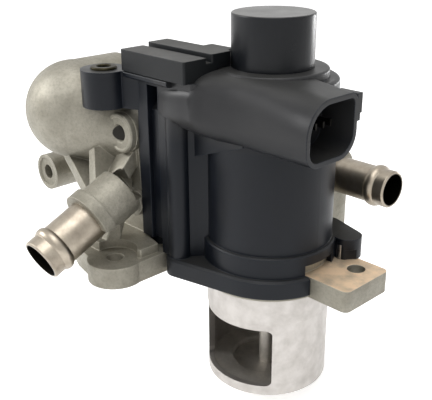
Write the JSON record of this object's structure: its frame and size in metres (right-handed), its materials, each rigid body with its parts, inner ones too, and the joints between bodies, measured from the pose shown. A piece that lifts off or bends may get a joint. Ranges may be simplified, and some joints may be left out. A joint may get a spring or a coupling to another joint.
{
  "type": "exhaust gas recirculation valve",
  "caption": "Solenoid exhaust gas valve: black plastic actuator with a side connector on a water-cooled cast body, hose spigots, gas flange and a windowed valve sleeve.",
  "frame": {"origin": "on the valve's axis, in the face that bolts to the engine", "axes": "+Z along the valve's axis, towards the sensor cap; +X the way the electrical connector opens; +Y the way the exhaust gas flange faces"},
  "size_m": [0.1652, 0.1308, 0.148],
  "materials": {
    "cast_aluminium": "sand and die cast, matt, slightly stained",
    "machined_aluminium": "turned, bright",
    "stainless_steel": "ground",
    "bronze": "sintered bronze, dull",
    "plated_pipe": "nickel plated, bright",
    "black_plastic": "glass-filled nylon, moulded, slightly glossy",
    "clip_plastic": "moulded, satin",
    "cover_plastic": "moulded, satin",
    "cap_plastic": "moulded, satin",
    "bush_brass": "turned, dull",
    "screw_steel": "zinc plated",
    "terminal_tin": "tinned",
    "seal_rubber": "moulded rubber",
    "board": "glass-fibre board with a printed track",
    "yoke_steel": "soft magnetic steel, zinc plated",
    "bobbin_plastic": "moulded",
    "copper_wire": "enamelled copper wire",
    "spring_steel": "spring steel",
    "slider_plastic": "acetal"
  },
  "bodies": {
    "valve_body": {"cast_housing": "cast_aluminium", "valve_sleeve": "machined_aluminium", "valve_seat": "stainless_steel", "stem_guide": "bronze", "stem_seal": "seal_rubber", "coolant_inlet_pipe": "plated_pipe", "coolant_outlet_pipe": "plated_pipe", "actuator_housing": "black_plastic", "housing_gasket": "seal_rubber", "limiter_bush": "bush_brass", "housing_screws": "screw_steel", "connector_terminals": "terminal_tin", "harness_clip": "clip_plastic", "top_cover": "cover_plastic", "cover_seal": "seal_rubber", "sensor_cap": "cap_plastic", "sensor_board": "board", "flux_yoke": "yoke_steel", "pole_core": "yoke_steel", "coil_bobbin": "bobbin_plastic", "coil_winding": "copper_wire", "return_spring": "spring_steel"},
    "moving_valve": {"valve_stem": "stainless_steel", "poppet_disc": "stainless_steel", "spring_retainer": "yoke_steel", "armature": "yoke_steel", "sensor_rod": "stainless_steel", "sensor_slider": "slider_plastic", "sensor_wiper": "bush_brass"}
  },
  "joints": [
    {"name": "valve_lift", "type": "slide", "parent": "valve_body", "child": "moving_valve", "axis": [0, 0, -1], "range_m": [0, 0.006], "stiffness_N_per_m": 2000, "springref_m": -0.006, "deforming": ["return_spring"]}
  ]
}
